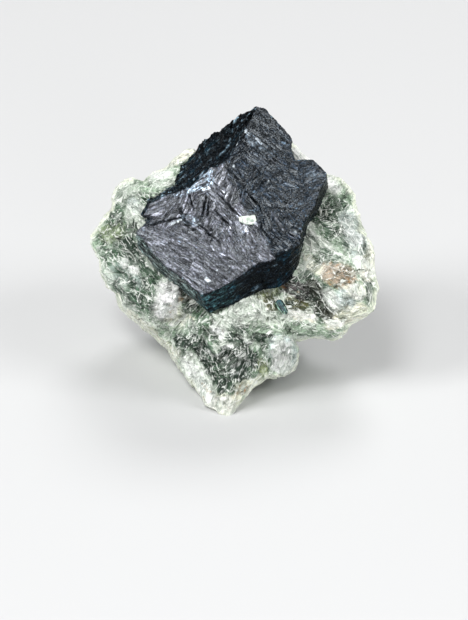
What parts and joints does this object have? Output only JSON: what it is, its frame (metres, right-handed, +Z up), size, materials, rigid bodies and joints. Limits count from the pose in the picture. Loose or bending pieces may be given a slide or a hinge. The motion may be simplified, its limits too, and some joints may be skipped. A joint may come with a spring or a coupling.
{
  "type": "tourmaline crystal in mica matrix, mineral specimen",
  "caption": "Mineral specimen: a blocky black-blue tourmaline crystal seated in pale green mica rock, standing on its own flat foot.",
  "frame": {"origin": "middle of the flat foot under the rock", "axes": "+Z up from the foot, -Y towards the side that shows the crystal's face"},
  "size_m": [0.0413, 0.0293, 0.0377],
  "materials": {
    "green_mica": "flaky mica rock, pale green to white with olive pits and rusty specks, soft sheen",
    "black_tourmaline": "black-blue crystal, glossy face with fine crossing growth lines, rough broken sides",
    "blue_green_tourmaline": "dark blue-green crystal, satin",
    "white_mica": "white pearly mica flake"
  },
  "bodies": {
    "root": {"matrix": "green_mica", "tourmaline_crystal": "black_tourmaline", "small_tourmaline": "blue_green_tourmaline", "mica_flake": "white_mica"}
  },
  "joints": []
}
